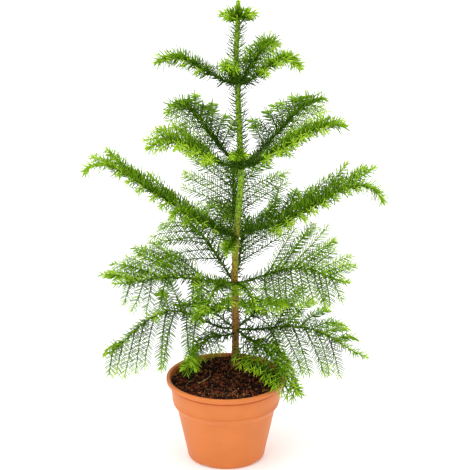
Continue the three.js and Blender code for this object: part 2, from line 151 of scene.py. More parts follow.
# Boughs, by tier and place in it, that differ from the others
# more, longer: how many twigs they have and how long those are, against the usual
# front: how long those are that face the front, against the rest
# younger, outmost, droop: how much younger they are, how far out they go, how much more they droop
# brush: how long the bough's own needles are, against the usual
# comb, apart: whether needles may stand in combs, and how far apart they are
# share, turn: for twigs that face the back and the front, which share grows and what the angle is times
USUAL_HABIT = dict(
    more=1, longer=1, front=1, younger=0, outmost=1, droop=0, brush=1, comb=True, apart=1,
    share=(1, 1), turn=(1, 1))
HABITS = {
    (0, 0): dict(longer=1.18, share=(0.5, 1), turn=(1.12, 0.9)),
    (0, 1): dict(longer=0.55, younger=0.06),
    (0, 2): dict(more=1.7, longer=0.68, younger=0.08, comb=False, apart=1.8),
    (0, 3): dict(more=0.68, longer=1.05, outmost=0.76, droop=-0.2, turn=(0.95, 0.78)),
    (0, 4): dict(more=0.9, longer=0.9),
    (0, 6): dict(more=0.5, longer=0.5),
    (1, 0): dict(more=1.05, longer=1.2, outmost=0.9, droop=0.12, share=(1, 0.8), turn=(0.85, 1)),
    (1, 1): dict(more=0.8, younger=-0.02),
    (1, 2): dict(more=0.7, younger=-0.02),
    (1, 3): dict(more=1.05, longer=1.2, outmost=0.88),
    (1, 4): dict(longer=1.25, younger=-0.06),
    (1, 5): dict(longer=1.15, younger=-0.1, droop=0.2),
    (2, 0): dict(more=1.1, longer=1.05, front=0.75, outmost=1.02, droop=0.06, apart=1.1),
    (2, 1): dict(longer=0.8, younger=-0.1, apart=1.5),
    (2, 2): dict(longer=0.7, younger=-0.2),
    (2, 3): dict(more=1.1, longer=1.2, front=0.6, younger=0.05, outmost=1.04, droop=-0.15, apart=1.1),
    (2, 4): dict(more=1.2, longer=1.1, younger=-0.06),
    (2, 5): dict(more=1.25, longer=1.12, younger=-0.14),
    (3, 0): dict(more=1.15, longer=1.2, apart=1.5),
    # 4b, short and by the trunk, is darker as painted shade at the hub
    (3, 1): dict(more=0.6, longer=0.5, younger=-0.3, brush=0.7),
    (3, 2): dict(apart=1.5),
    (3, 3): dict(longer=1.25, younger=-0.12, droop=0.15),
    (3, 4): dict(more=1.2, longer=1.35, younger=-0.12, droop=0.3),
    (4, 0): dict(more=0.8, longer=0.75, younger=-0.1),
    (4, 1): dict(more=0.8, longer=0.6, younger=-0.06, brush=1.4),
    (4, 2): dict(longer=0.9, younger=-0.05),
    (4, 3): dict(longer=0.9, younger=-0.05),
}

# Whether a tier's needles stand in combs, at the front and at the back, and how far combs tip to the front
COMBS = ((True, True), (True, True), (False, True), (False, True), (False, False))
COMB_TURN = (0.7, 1.0, 1.0, 0.7, 0.0)
# From one needle of a twig to the next, in a comb and in a spiral
COMB_SPACING = 1.12 * MM
SPIRAL_SPACING = 0.65 * MM
# Needles of each tier's twigs, and how far they lean from the twig at the foot and at the tip
NEEDLE_WIDTH = np.array([1.55, 1.5, 1.45, 1.45, 1.45]) * MM
NEEDLE_LENGTH = np.array([11.5, 11, 12, 11.5, 12.5]) * MM
NEEDLE_LEAN = ((60, 46), (60, 46), (62, 48), (68, 50), (74, 52))
# How young a tier's twigs are from 0 to 1, how much older and darker at the foot, partly as painted shade inside
# the spray, how much younger if they face the front and not the back, how much younger further out, and how twigs
# and boughs vary
TIER_YOUTH = (0.31, 0.36, 0.52, 0.5, 0.5)
FOOT_AGE_AND_SHADE = (0.12, 0.12, 0.35, 0.42, 0.35)
FRONT_YOUTH = (-0.2, -0.1, 0.42, 0.34, 0.24)
OUTER_YOUTH = 0.12
TWIG_YOUTH_PLAY, BOUGH_YOUTH_PLAY = 0.06, 0.04

# The brush of needles round a tier's boughs, with the share of them left below a bough, and how much shorter they
# are at its foot
BRUSH_SPACING = np.array([0.8, 0.7, 0.5, 0.52, 0.42]) * MM
BRUSH_LENGTH = np.array([10.5, 11, 16.5, 16.5, 18]) * MM
BRUSH_WIDTH = np.array([1.6, 1.6, 1.3, 1.3, 1.3]) * MM
BRUSH_YOUTH = (-0.06, -0.06, -0.2, -0.2, -0.16)
BRUSH_UNDER = (0.8, 0.8, 0.3, 0.45, 0.5)
BRUSH_FOOT = (-0.2, 0.0, 0.5, 0.35, 0.2)
BRUSH_LEAN = (80, 60)
# The reach in millimetres below which a brush is shorter, and the least share of its length
BRUSH_REACH, BRUSH_LEAST = 90, 0.6
# Needles that lie close along a bough, under the brush, darkened on the upper three tiers as painted shade inside
# it
CLOSE_SPACING = np.array([2, 2, 0.5, 0.5, 0.5]) * MM
CLOSE_LENGTH = 10 * MM
CLOSE_YOUTH_AND_SHADE = (0.06, 0.06, -0.28, -0.28, -0.22)
CLOSE_LEAN = (40, 26)
# Both are darker at the foot, as older needles and as painted shade inside the crown, darker behind the trunk as
# painted shade, and younger at the tip, at the front and at the back, less so at the back as painted shade
BOUGH_FIRST = 0.04
BOUGH_FOOT_SHADE_AND_AGE = 0.45
BOUGH_TIP_YOUTH = (0.38, 0.24)
SHADE_AGE = 0.08

# Rings of a needle as (share of its length, share of its width), and its depth against its width
NEEDLE_RINGS = ((0.0, 0.95), (0.5, 1.0), (0.85, 0.72))
NEEDLE_CORNERS = (90, 210, 330)
NEEDLE_DEPTH = 0.8
# The needles' greens: the darkest is painted shade, the others go from old to young
NEEDLE_SHADE_AND_AGES = ("deep", "old", "grown", "fresh", "young")
# Near the end of a twig, needles are shorter and younger and lean in, at their foot and tip
TIP_REACH = 6 * MM
TIP_SHORTER = 0.35
TIP_YOUTH = 0.14
TIP_LEAN = (36, 24)

# The leader's tuft in millimetres: its bud, and its shoots as (azimuth, length)
BUD_HEIGHT = 22
SHOOTS = ((4, 20), (38, 17), (90, 14), (142, 17), (176, 20), (214, 17), (270, 9), (326, 17))
TUFT_SPACING = 0.55 * MM
TUFT_YOUTH = 0.44


def linear(value):
    """An sRGB hex colour as linear red, green, blue and alpha."""
    shares = [int(value[i:i + 2], 16) / 255 for i in (1, 3, 5)]
    return (*[c / 12.92 if c <= 0.04045 else ((c + 0.055) / 1.055) ** 2.4 for c in shares], 1.0)


def hue(description, value):
    """A colour that a user may change, kept in the scene's linear values."""
    return FloatVectorProperty(
        description=description, subtype="COLOR", size=3, min=0, max=1, default=linear(value)[:3])


def in_mm(description, millimetres):
    """A length that a user may change."""
    return FloatProperty(description=description, unit="LENGTH", min=0, precision=4, default=millimetres * MM)


class PotSizes(PropertyGroup):
    """The pot as it is turned about its axis."""
    height: in_mm("Floor to the top of the lip", 107)
    rim_radius: in_mm("Outside of the lip", 75)
    lip_height: in_mm("Height of the rolled lip", 5.7)
    lip_width: in_mm("Width of the lip's top", 4.6)
    collar_radius: in_mm("Outside of the collar", 69.5)
    shoulder_radius: in_mm("Outside of the step's upper edge", 67.2)
    shoulder_height: in_mm("Height of the step's upper edge", 78)
    waist_radius: in_mm("Outside of the step's lower edge", 61)
    waist_height: in_mm("Height of the step's lower edge", 64)
    heel_radius: in_mm("Outside of the wall over the foot", 48.9)
    heel_height: in_mm("Height of the rounded heel", 7)
    foot_radius: in_mm("Radius of the flat foot", 44.5)
    wall: in_mm("Thickness of the wall", 1.6)
    floor: in_mm("Thickness of the floor", 4.5)
    segments: IntProperty(description="Faces round the pot", min=24, default=144)
    colour: hue("Clay-coloured plastic", "#d4752e")


class SoilSizes(PropertyGroup):
    """The potting soil and what lies on it."""
    level: in_mm("Height round the stem", 104.2)
    edge_drop: in_mm("How far it sinks to the wall", 1.6)
    level_radius: in_mm("Radius of the level middle", 52)
    crumb: in_mm("Usual size of a crumb", 2.3)
    crumbs: IntProperty(description="Crumbs on the soil", min=0, default=4200)
    fibres: IntProperty(description="Fibres on the soil", min=0, default=45)
    peat: hue("Damp peat", "#1c0c05")
    bark_bit: hue("Bits of composted bark", "#6e3216")
    dry_bit: hue("Dried bits of bark", "#8a5a32")
    fibre: hue("Pale coir fibres", "#a5814d")


class StemSizes(PropertyGroup):
    """The trunk and the boughs."""
    foot_radius: in_mm("Radius of the trunk over its flare", 4.6)
    tip_radius: in_mm("Radius of the trunk under its tuft", 3.0)
    flare: in_mm("What the flare adds at soil level", 1.2)
    flare_height: in_mm("Height of the flare", 12)
    joint_radius: in_mm("Radius of a bough at the trunk", 1.5)
    limb_radius: in_mm("Radius of a bough at its tip", 0.55)
    relief: in_mm("Height of the bark's scales", 0.45)
    old_bark: hue("Bark at the foot of the trunk", "#b07a24")
    mid_bark: hue("Bark half way up", "#9c9a1c")
    green_bark: hue("Rind of the young stem", "#86b00c")
    limb: hue("Rind of the boughs and twigs", "#3f5c12")


class NeedleSizes(PropertyGroup):
    """The needles of the leader and the greens of all needles."""
    length: in_mm("Length of a needle of the tuft", 12)
    width: in_mm("Width of a needle of the leader at its foot", 1.75)
    deep: hue("Needles in the shade", "#3a5c0c")
    old: hue("Last year's needles", "#5c860e")
    grown: hue("Grown needles of this year", "#7aa612")
    fresh: hue("Needles near the tips", "#98c420")
    young: hue("Needles of the growing tips", "#badc40")


class StageSettings(PropertyGroup):
    """The floor, the lights and the camera."""
    floor_size: in_mm("Width of the floor", 14000)
    floor_colour: hue("Matt paper of the floor", "#fafafa")
    table_light: FloatProperty(description="Glow of the paper", default=0.16)
    world_light: FloatProperty(description="Light all round", default=0.88)
    overhead_light: FloatProperty(description="Power of the light overhead", unit="POWER", default=95)
    key_light: FloatProperty(description="Power of the light from the front left", unit="POWER", default=12)
    focal_length: FloatProperty(description="Lens of the camera", unit="CAMERA", default=213.8)
    pitch: FloatProperty(
        description="How far the camera looks down", subtype="ANGLE", default=math.radians(20.92))
    camera: FloatVectorProperty(
        description="Where the camera stands", subtype="TRANSLATION", size=3, default=(0.0111, -3.202, 1.520))


# Materials


def link_all(tree, node, sources):
    """Links outputs to the named inputs of a node."""
    for socket, source in sources.items():
        tree.links.new(source, node.inputs[socket])


def add_node(tree, kind, values=None, links=None, **settings):
    """Adds one node with its settings, socket values and incoming links."""
    node = tree.nodes.new(kind)
    for key, value in settings.items():
        setattr(node, key, value)
    for socket, value in (values or {}).items():
        node.inputs[socket].default_value = value
    link_all(tree, node, links or {})
    return node


def add_noise(tree, place, patch, detail, **values):
    """Noise from 0 to 1 in patches of a size."""
    values = {"Scale": 1 / patch, "Detail": detail, **values}
    return add_node(tree, "ShaderNodeTexNoise", values, {"Vector": place}).outputs["Fac"]


def add_ramp(tree, value, stops):
    """Colours that follow a value, from stops of (value, colour)."""
    node = add_node(tree, "ShaderNodeValToRGB", links={"Fac": value})
    ramp = node.color_ramp.elements
    while len(ramp) < len(stops):
        ramp.new(1.0)
    for element, (place, colour) in zip(ramp, stops):
        element.position = place
        element.color = colour
    return node.outputs["Color"]


def add_tint(tree, value, colour, stops):
    """A colour darker and lighter by a value, from stops of (value, share of the colour)."""
    return add_ramp(tree, value, [(place, shade(colour, amount)) for place, amount in stops])


def add_bump(tree, height, strength, depth):
    """Normals of small bumps that follow a value."""
    return add_node(
        tree, "ShaderNodeBump", {"Strength": strength, "Distance": depth}, {"Height": height}).outputs["Normal"]


def new_material(name, **shader_values):
    """A material with its shader and the coordinates that its patterns follow."""
    material = bpy.data.materials.new(name)
    material.use_nodes = True
    tree = material.node_tree
    tree.nodes.clear()
    shader = add_node(tree, "ShaderNodeBsdfPrincipled", shader_values)
    add_node(tree, "ShaderNodeOutputMaterial", links={"Surface": shader.outputs["BSDF"]})
    place = add_node(tree, "ShaderNodeTexCoord").outputs["Object"]
    return material, tree, shader, place


def shade(colour, amount):
    """A colour made lighter or darker by a share of itself, with full alpha."""
    return (*[min(1.0, c * amount) for c in colour[:3]], 1.0)


def moulded_polypropylene(colour):
    """Injection-moulded polypropylene: an even satin skin, with its pigment a little cloudy along the flow."""
    material, tree, shader, place = new_material("moulded_polypropylene", Roughness=0.46, IOR=1.49)
    # Flow clouds of about 30 mm, and the mould's grain of 0.3 mm drawn at 0.9 mm so that it shows
    clouds = add_noise(tree, place, 30 * MM, 4.0)
    grain = add_noise(tree, place, 0.9 * MM, 2.0)
    gloss = add_node(tree, "ShaderNodeMapRange", {"To Min": 0.42, "To Max": 0.54}, {"Value": clouds})
    link_all(tree, shader, {
        "Base Color": add_tint(tree, clouds, colour, ((0.3, 0.93), (0.55, 1.0), (0.75, 1.05))),
        "Normal": add_bump(tree, grain, 0.06, 0.3 * MM), "Roughness": gloss.outputs["Result"]})
    return material


def damp_earth(name, colour, patch, roughness):
    """Damp peat, bark or coir: dull and broken up, with painted shade in the pores between crumbs, which are
    lighter, partly in their own tone and partly as painted light.
    """
    material, tree, shader, place = new_material(
        name, Roughness=roughness, IOR=1.4, **{"Specular IOR Level": 0.2})
    # One noise gives bumps and tint: darker in the low pores as painted shade, lighter on the raised crumbs,
    # partly painted light
    crumbs = add_noise(tree, place, patch, 5.0, Roughness=0.65)
    link_all(tree, shader, {
        "Base Color": add_tint(tree, crumbs, colour, ((0.34, 0.2), (0.52, 1.0), (0.7, 2.0))),
        "Normal": add_bump(tree, crumbs, 0.5, 0.6 * MM)})
    return material


def young_pine_bark(stem):
    """Bark of a young conifer: brown and scaly at the foot, then mottled, then green rind up to the tuft."""
    material, tree, shader, place = new_material("young_pine_bark", Roughness=0.62, IOR=1.45)
    height = add_node(tree, "ShaderNodeSeparateXYZ", links={"Vector": place}).outputs["Z"]
    low, high = float(TRUNK_HEIGHTS[0]), float(TRUNK_HEIGHTS[-1])
    share = add_node(tree, "ShaderNodeMapRange", {"From Min": low, "From Max": high}, {"Value": height})
    old, mid, green = stem.old_bark, stem.mid_bark, stem.green_bark
    age = add_ramp(tree, share.outputs["Result"], [(place, shade(bark, amount)) for place, bark, amount in (
        (0.0, old, 0.55), (0.1, old, 0.8), (0.24, old, 1.0), (0.33, mid, 1.0), (0.39, mid, 0.7),
        (0.48, green, 1.0), (1.0, green, 0.9))])
    # Scales of about 2.5 mm with dark edges
    scales = add_noise(tree, place, 2.5 * MM, 4.0)
    edges = add_ramp(tree, scales, [
        (0.38, (0.25, 0.22, 0.18, 1)), (0.52, (0.88, 0.88, 0.88, 1)), (0.68, (1.25, 1.2, 1.1, 1))])
    # A mix of colours has its own sockets among those of the other kinds of mix
    colour_a, colour_b, colour_out = 6, 7, 2
    tint = add_node(tree, "ShaderNodeMix", {"Factor": 0.9}, data_type="RGBA", blend_type="MULTIPLY")
    link_all(tree, tint, {colour_a: age, colour_b: edges})
    link_all(tree, shader, {
        "Base Color": tint.outputs[colour_out], "Normal": add_bump(tree, scales, 0.5, 0.4 * MM)})
    return material


def plant_skin(name, colour, roughness):
    """Waxy skin of a needle or green twig: a soft gloss, a little uneven in its green."""
    material, tree, shader, place = new_material(
        name, Roughness=roughness, IOR=1.4, **{"Specular IOR Level": 0.08})
    # Patches of about 5 mm, so that needles of one spray differ a little
    patches = add_noise(tree, place, 5 * MM, 2.0)
    link_all(tree, shader, {"Base Color": add_tint(tree, patches, colour, ((0.3, 0.8), (0.5, 1.0), (0.7, 1.18)))})
    return material


# Meshes


def add_object(name, data, place=(0, 0, 0), turn=(0, 0, 0)):
    """Puts an object with its data into the scene."""
    added = bpy.data.objects.new(name, data)
    added.location, added.rotation_euler = place, turn
    bpy.context.scene.collection.objects.link(added)
    return added


def add_piece(name, vertices, faces, materials, finish, replaced=(), looks=None):
    """A mesh piece that rides on the plant and stands for the CAD nodes that it hides; its finish is not used."""
    mesh = bpy.data.meshes.new(name)
    mesh.vertices.add(len(vertices))
    mesh.vertices.foreach_set("co", np.asarray(vertices, np.float32).ravel())
    mesh.loops.add(faces.size)
    mesh.loops.foreach_set("vertex_index", faces.astype(np.int32).ravel())
    mesh.polygons.add(len(faces))
    mesh.polygons.foreach_set("loop_start", np.arange(len(faces), dtype=np.int32) * faces.shape[1])
    for material in materials:
        mesh.materials.append(material)
    if looks is not None:
        mesh.polygons.foreach_set("material_index", np.asarray(looks, np.int32))
    mesh.update(calc_edges=True)
    if mesh.validate():
        raise RuntimeError(f"{name} has faces that can't stand")
    mesh.shade_smooth()
    piece = add_object(name, mesh)
    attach(piece, "root")
    if replaced:
        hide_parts(*replaced)


def nodes_named(start):
    """The CAD nodes whose names start in one way."""
    return [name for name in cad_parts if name.startswith(start)]


def unit(vectors):
    """Vectors made one long."""
    return vectors / np.maximum(np.linalg.norm(vectors, axis=-1, keepdims=True), 1e-12)


def heading_at(azimuth):
    """The level direction at an azimuth in degrees."""
    turn = math.radians(azimuth)
    return np.array([math.cos(turn), math.sin(turn), 0])


def curve(start, middle, end, share):
    """Points at shares of a curve that bends towards its middle point."""
    return (1 - share) ** 2 * start + 2 * share * (1 - share) * middle + share**2 * end


def way_along(path):
    """How far each point of a path is along it."""
    return np.concatenate([[0], np.cumsum(np.linalg.norm(np.diff(path, axis=0), axis=1))])


def frames_along(path, flat=UP):
    """Directions along, across and over a path, without a twist, those over it as near the flat as can be."""
    along = unit(np.gradient(path, axis=0))
    across = np.empty_like(path)
    side = np.cross(unit(flat), along[0])
    if np.linalg.norm(side) < 0.2:
        side = np.cross(BACK, along[0])
    for i, direction in enumerate(along):
        side = unit(side - direction * np.dot(side, direction))
        across[i] = side
    return along, across, np.cross(along, across)


def ring_quads(rings, sides):
    """Quads between rings of corners, closed round the axis."""
    ring, side = np.arange(rings - 1)[:, None] * sides, np.arange(sides)
    first, after = ring + side, ring + (side + 1) % sides
    return np.stack([first, after, after + sides, first + sides], -1).reshape(-1, 4)


def turned(outline, sides):
    """Rings of corners of an outline of (radius, height) turned about the upright axis."""
    profile = np.array(outline)
    turn = np.arange(sides) * 2 * math.pi / sides
    return np.stack([profile[:, :1] * np.cos(turn), profile[:, :1] * np.sin(turn),
                     np.repeat(profile[:, 1:], sides, 1)], -1)


def tube(path, radii, sides, relief=0.0, rows=(3, 2), pitch=4 * MM):
    """A round limb along a path, with the low scales that needle feet leave in crossing spirals."""
    _, across, over = frames_along(path)
    turn = np.arange(sides) * 2 * math.pi / sides
    way = way_along(path)[:, None]
    share = turn[None, :] / (2 * math.pi)
    scales = (np.sin(math.pi * (rows[0] * share + way / pitch)) ** 2
              * np.sin(math.pi * (rows[1] * share - way / pitch)) ** 2)
    radius = radii[:, None] + relief * scales
    places = (path[:, None, :] + radius[..., None] * (
        np.cos(turn)[None, :, None] * across[:, None, :] + np.sin(turn)[None, :, None] * over[:, None, :]))
    return places.reshape(-1, 3), ring_quads(len(path), sides)


def pointed(radii, left=0.3):
    """Radii along a limb, with a share of the last one left at its point."""
    radii[-1] *= left
    return radii


def joined(parts):
    """Vertices and faces of many parts as one pair of arrays."""
    counts = np.cumsum([0] + [len(vertices) for vertices, _ in parts])
    return (np.concatenate([vertices for vertices, _ in parts]),
            np.concatenate([faces + start for (_, faces), start in zip(parts, counts)]))


def convex_faces(corners):
    """Triangles of the hull of a few corners round the origin, facing out."""
    faces = []
    for a, b, c in itertools.combinations(range(len(corners)), 3):
        normal = np.cross(corners[b] - corners[a], corners[c] - corners[a])
        reach = (corners - corners[a]) @ normal
        if np.linalg.norm(normal) > 1e-6 and (np.all(reach < 1e-9) or np.all(reach > -1e-9)):
            faces.append((a, b, c) if normal @ corners[a] > 0 else (a, c, b))
    return np.array(faces)


# Growth


def trunk_centre(heights):
    """The stem's centre at heights, on a smooth line through its drifts."""
    z = np.asarray(heights, float)
    slopes = np.gradient(TRUNK_DRIFTS, TRUNK_HEIGHTS)
    i = np.clip(np.searchsorted(TRUNK_HEIGHTS, z) - 1, 0, len(TRUNK_HEIGHTS) - 2)
    step = TRUNK_HEIGHTS[i + 1] - TRUNK_HEIGHTS[i]
    t = (z - TRUNK_HEIGHTS[i]) / step
    drift = ((2 * t**3 - 3 * t**2 + 1) * TRUNK_DRIFTS[i] + (t**3 - 2 * t**2 + t) * step * slopes[i]
             + (3 * t**2 - 2 * t**3) * TRUNK_DRIFTS[i + 1] + (t**3 - t**2) * step * slopes[i + 1])
    return np.stack([drift, np.full_like(z, TRUNK_DEPTH), z], -1)


def trunk_radius(heights, stem):
    """The trunk's radius at heights, with its taper and its flare at the soil."""
    z = np.asarray(heights, float)
    share = (z - TRUNK_HEIGHTS[0]) / (TRUNK_HEIGHTS[-1] - TRUNK_HEIGHTS[0])
    flare = stem.flare * np.exp(-(z - TRUNK_HEIGHTS[0]) / stem.flare_height)
    return stem.foot_radius + (stem.tip_radius - stem.foot_radius) * share + flare


def hump(share, peak):
    """A hump from 0 to 1 over a share of a limb, highest at the peak."""
    return (share / peak) ** (4 * peak) * ((1 - share) / (1 - peak)) ** (4 * (1 - peak))


def bough_path(tier, bough, shares):
    """Points of a bough at shares of its reach."""
    azimuth, reach, lift, arch, below, _ = bough
    root = trunk_centre((tier["height"] - below) * MM)
    rise = (lift * shares + arch * hump(shares, tier["peak"])) * MM
    return root + heading_at(azimuth) * (reach * MM * shares)[:, None] + UP * rise[:, None]


def habit_of(t, b):
    """How the twigs of a bough grow."""
    return USUAL_HABIT | HABITS.get((t, b), {})


def clear_of_pot(path, pot):
    """Whether a twig keeps clear of the pot and of the soil in it."""
    x, y, z = path.T
    from_axis = np.hypot(x, y)
    over_lip = z > pot.height + POT_CLEARANCE
    outside = from_axis > pot.rim_radius + POT_CLEARANCE
    over_soil = (from_axis < pot.rim_radius - pot.lip_width - 2 * POT_CLEARANCE) & (z > pot.height)
    return bool(np.all(over_lip | outside | over_soil))


def branchlets_of(t, b, pot):
    """A bough's branchlets by the plain plant's rule, with more of them, as (path, share of bough, facing)."""
    tier, bough, habit = TIERS[t], TIERS[t]["boughs"][b], habit_of(t, b)
    draw = np.random.default_rng(TWIG_SEED * (t + 1) + b)
    azimuth, reach = bough[0], bough[1] * MM
    usual = tier["length"] * MM
    size = habit["longer"] * bough[-1] * min(1.0, reach / (FULL_TWIG_REACH * usual))
    bare = min(BARE_MOST, max(BARE_LEAST, BARE_LENGTH / reach))
    finer = FINER[t] * habit["more"] * (BACK_SHARE[t] if heading_at(azimuth)[1] > BEHIND else 1)
    count = max(FEWEST_TWIGS, round(finer * tier["branchlets"] * min(MOST_REACH, reach / USUAL_REACH)))
    last_twig = habit["outmost"] * tier["outmost"]
    twigs = []
    for i in range(count):
        outward = FIRST_TWIG + (last_twig - FIRST_TWIG) * (i + 0.5 * draw.random()) / (count - 0.5)
        share = bare + (1 - bare) * outward
        side = 1 if i % 2 else -1
        facing = 0.5 - 0.5 * math.sin(math.radians(azimuth + SIDE_TURN * side))
        spread = np.interp(facing, (0, 1), np.multiply(tier["spread"], habit["turn"]))
        angle = (TWIG_ANGLE - TWIG_ANGLE_FALL * outward) * spread + TWIG_ANGLE_PLAY * (draw.random() - 0.5)
        heading = heading_at(azimuth + side * angle)
        if draw.random() > habit["share"][facing > 0.5]:
            continue
        taper = 1 - TWIG_TAPER * outward**2
        facing_size = np.interp(facing, (0, 1), np.multiply(tier["size"], (1, habit["front"])))
        length = size * usual * taper * facing_size * (0.9 + 0.2 * draw.random())
        before, start = bough_path(tier, bough, np.array([share - 0.01, share]))
        slope = TWIG_FOLLOW * unit(start - before)[2] + tier["lean"] * heading[1]
        droop = tier["droop"] + habit["droop"] + TWIG_DROOP_PLAY * draw.random()
        sway = TWIG_SWAY * draw.standard_normal(3)
        for shorter, level in FITTINGS:
            reach_out = length * shorter
            middle = start + unit(heading + UP * (slope + level)) * reach_out / 2
            end = start + unit(heading + UP * (slope + level - droop) + sway) * reach_out
            path = curve(start, middle, end, np.linspace(0, 1, max(5, round(reach_out / TWIG_STEP)))[:, None])
            if clear_of_pot(path[1:], pot):
                twigs.append((path, outward, facing))
                break
    return twigs


@functools.cache
def crown():
    """Every tier's boughs and branchlets, as (bough path, branchlets) lists."""
    pot = bpy.context.scene.pine_pot
    shares = np.linspace(BOUGH_FOOT, 1, BOUGH_POINTS)
    return [[(bough_path(tier, bough, shares), branchlets_of(t, b, pot))
             for b, bough in enumerate(tier["boughs"])] for t, tier in enumerate(TIERS)]


def needles_on(path, spacing, length, lean, youth_and_shade, draw, width, comb=False, first=0.0, tip_youth=0.35, old=0.12,
               under=1.0, short_foot=0.0, flat=UP):
    """Needles along a twig, as arrays of foot, along, out, width, length, lean at foot and tip, and youth and
    shade.

    A comb has a row to either side, square to the flat, and a few over and under the twig. Otherwise they stand
    in a spiral.
    """
    way = way_along(path)
    count = max(4, int(way[-1] * (1 - first) / spacing))
    order = np.arange(count)
    place = way[-1] * (first + (1 - first) * (order + (0.2 if comb else 1) * draw.random(count)) / count)
    if comb:
        rows = np.choose(order % 5, (0, math.pi, 0, math.pi, math.pi / 2)) + math.pi * (order % 10 == 9)
        turn = rows + draw.normal(0, 0.14, count)
    else:
        turn = order * GOLDEN_TURN + draw.normal(0, 0.2, count)
    foot, along, across, over = (
        np.stack([np.interp(place, way, part[:, k]) for k in range(3)], -1)
        for part in (path, *frames_along(path, flat)))
    out = unit(np.cos(turn)[:, None] * across + np.sin(turn)[:, None] * over)
    tip = np.exp((place - way[-1]) / TIP_REACH)
    share = place / way[-1]
    # The last array holds youth with painted light and shade: darker towards the foot by old, for older needles
    # and as painted shade inside the crown, and lighter on needles that point up and darker on those that point
    # down, as painted light and shade from above
    needles = (
        foot, unit(along), out, np.full(count, width),
        length * (1 - TIP_SHORTER * tip - short_foot * (1 - share) ** 2)
        * draw.normal(1, 0.1, count).clip(0.7, 1.3),
        np.radians(lean[0] - TIP_LEAN[0] * tip + draw.normal(0, 3, count)),
        np.radians(lean[1] - TIP_LEAN[1] * tip + draw.normal(0, 4, count)),
        youth_and_shade + tip_youth * share**3 - old * (1 - share) ** 3 + TIP_YOUTH * tip + 0.16 * out[:, 2]
        + draw.normal(0, 0.14, count))
    # Those below a limb are fewer, but for the tip
    kept = draw.random(count) < np.where(out[:, 2] < -0.3, np.maximum(under, tip), 1)
    return [values[kept] for values in needles]


def needle_mesh(groups):
    """Three-sided awls that bend towards the tip of their twig, and the look that each face takes."""
    foot, along, out, *sizes, youth_and_shade = map(np.concatenate, zip(*groups))
    width, length, lean_foot, lean_tip = (size[:, None] for size in sizes)
    middle = foot + (np.cos(lean_foot) * along + np.sin(lean_foot) * out) * length / 2
    end = middle + (np.cos(lean_tip) * along + np.sin(lean_tip) * out) * length / 2
    side = unit(np.cross(along, out))
    corners = []
    for t, wide in NEEDLE_RINGS:
        centre = curve(foot, middle, end, t)
        over = unit(np.cross(side, (1 - t) * (middle - foot) + t * (end - middle)))
        for turn in map(math.radians, NEEDLE_CORNERS):
            across = math.cos(turn) * side + NEEDLE_DEPTH * math.sin(turn) * over
            corners.append(centre + wide * width / 2 * across)
    places = np.stack([*corners, end], 1)
    sides, tip = len(NEEDLE_CORNERS), len(corners)
    *lower, last = range(0, tip, sides)
    edges = [(c, (c + 1) % sides) for c in range(sides)]
    pattern = [(r + c, r + d, r + sides + d) for r in lower for c, d in edges]
    pattern += [(r + c, r + sides + d, r + sides + c) for r in lower for c, d in edges]
    pattern += [(last + c, last + d, tip) for c, d in edges]
    faces = (np.arange(len(places)) * places.shape[1])[:, None, None] + np.array(pattern)[None]
    green_count = len(NEEDLE_SHADE_AND_AGES)
    looks = np.repeat(np.clip((youth_and_shade * green_count).astype(int), 0, green_count - 1), len(pattern))
    return places.reshape(-1, 3), faces.reshape(-1, 3), looks


@functools.cache
def needle_skins():
    """The greens of the needles, darkest first: painted shade, then from the oldest to the youngest."""
    needles = bpy.context.scene.pine_needles
    return [plant_skin(f"needle_cuticle_{age}", getattr(needles, age), 0.42) for age in NEEDLE_SHADE_AND_AGES]


def add_needles(name, groups, replaced=()):
    """A piece of needles in their greens."""
    places, faces, looks = needle_mesh(groups)
    add_piece(name, places, faces, needle_skins(), "foliage", replaced, looks)


def edge_of(pot, name):
    """An edge of the pot's outside as (radius, height)."""
    return np.array([getattr(pot, f"{name}_radius"), getattr(pot, f"{name}_height")])


def pot_outline(pot):
    """Half the pot's section as (radius, height), from under its floor over the lip to inside it."""
    heel, waist, shoulder = (edge_of(pot, name) for name in ("heel", "waist", "shoulder"))
    foot, collar = np.array([(pot.foot_radius, 0), (pot.collar_radius, pot.height - pot.lip_height)])
    outline = [(AXIS_GAP, 0), foot * 0.5, foot]
    outline += [foot + (heel - foot) * (math.sin(a), 1 - math.cos(a)) for a in np.linspace(0.2, 1.45, 7)]
    outline += [heel, *np.linspace(heel, waist, 8)[1:]]
    # The step swings out from the waist to a groove under the bead of the shoulder
    step = shoulder - STEP_TOP
    outline += [waist + (step - waist) * ((1 - math.cos(math.pi * s)) / 2, s) for s in np.linspace(0, 1, 10)[1:]]
    outline += [*(shoulder - SHOULDER_BEAD), *np.linspace(shoulder, collar - (0, COLLAR_TOP), 5)[1:]]
    outline += [*(collar - LIP_GROOVE)]
    # The lip is rolled at its lower edge and at both edges of its top
    roll, quarter = LIP_ROLL, math.pi / 2
    outer, inner = pot.rim_radius - roll, pot.rim_radius - pot.lip_width + roll
    low, high = collar[1] + roll, pot.height - roll
    outline += [(outer + roll * math.sin(a), low - roll * math.cos(a)) for a in np.linspace(0, quarter, 5)]
    outline += [(outer + roll * math.cos(a), high + roll * math.sin(a)) for a in np.linspace(0, quarter, 6)]
    outline += [(inner - roll * math.sin(a), high + roll * math.cos(a)) for a in np.linspace(0, quarter, 5)]
    outline += [collar - (pot.wall, 2 * MM), *(edge - (pot.wall, 0) for edge in (shoulder, waist, heel))]
    return outline + [(pot.foot_radius, pot.floor), (AXIS_GAP, pot.floor)]


# Operators


